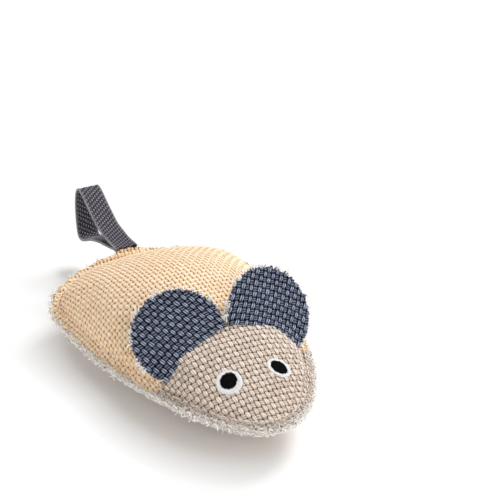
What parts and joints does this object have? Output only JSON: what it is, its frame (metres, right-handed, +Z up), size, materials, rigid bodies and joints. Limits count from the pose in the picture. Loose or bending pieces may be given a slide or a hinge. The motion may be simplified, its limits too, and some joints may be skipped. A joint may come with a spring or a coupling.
{
  "type": "cat toy",
  "caption": "Flat stuffed cloth mouse with a fringed hem, upright cloth ears, sewn eyes and a webbing tail loop, for a cat to bat and carry.",
  "frame": {"origin": "middle of the small flat on the belly that the toy rests on", "axes": "+X to the nose, +Y to the animal's left, +Z up through the back"},
  "size_m": [0.1831, 0.0904, 0.051],
  "materials": {
    "sand_canvas": "heavy open-weave cotton canvas, pale sand, raw edge fringed",
    "taupe_canvas": "heavy open-weave cotton canvas, taupe with pale floats",
    "navy_canvas": "open-weave cotton canvas, faded navy, edge frayed",
    "greige_canvas": "plain cotton canvas, light greige",
    "wadding": "white polyester wadding",
    "muslin": "thin muslin pouch of dried catnip",
    "eye_white_thread": "satin stitch in white cotton thread",
    "eye_black_thread": "satin stitch in black cotton thread",
    "tail_webbing": "narrow charcoal cotton webbing with lighter flecks",
    "cream_thread": "cream cotton sewing thread"
  },
  "bodies": {
    "body": {"back_cover": "sand_canvas", "head_cover": "taupe_canvas", "belly_cover": "taupe_canvas", "stuffing": "wadding", "catnip_pouch": "muslin", "eye_left_white": "eye_white_thread", "eye_left_pupil": "eye_black_thread", "eye_right_white": "eye_white_thread", "eye_right_pupil": "eye_black_thread", "edge_stitch_upper": "cream_thread", "edge_stitch_lower": "cream_thread", "closing_stitch": "cream_thread", "head_seam_thread": "cream_thread"},
    "ear_left": {"ear_left_front": "navy_canvas", "ear_left_back": "greige_canvas"},
    "ear_right": {"ear_right_front": "navy_canvas", "ear_right_back": "greige_canvas"},
    "tail": {"tail_loop": "tail_webbing"}
  },
  "joints": [
    {"name": "ear_left_flap", "type": "hinge", "parent": "body", "child": "ear_left", "pos_m": [0.03153, 0.01597, 0.0336], "axis": [0.1612, 0.9067, -0.3898], "range_deg": [-31, 63], "stiffness_Nm_per_rad": 0.004},
    {"name": "ear_right_flap", "type": "hinge", "parent": "body", "child": "ear_right", "pos_m": [0.03153, -0.01597, 0.0336], "axis": [-0.1612, 0.9067, 0.3898], "range_deg": [-18, 76], "stiffness_Nm_per_rad": 0.004},
    {"name": "tail_lift", "type": "hinge", "parent": "body", "child": "tail", "pos_m": [-0.06705, 0, 0.02685], "axis": [0, 1, 0], "range_deg": [-18, 60], "stiffness_Nm_per_rad": 0.01}
  ]
}
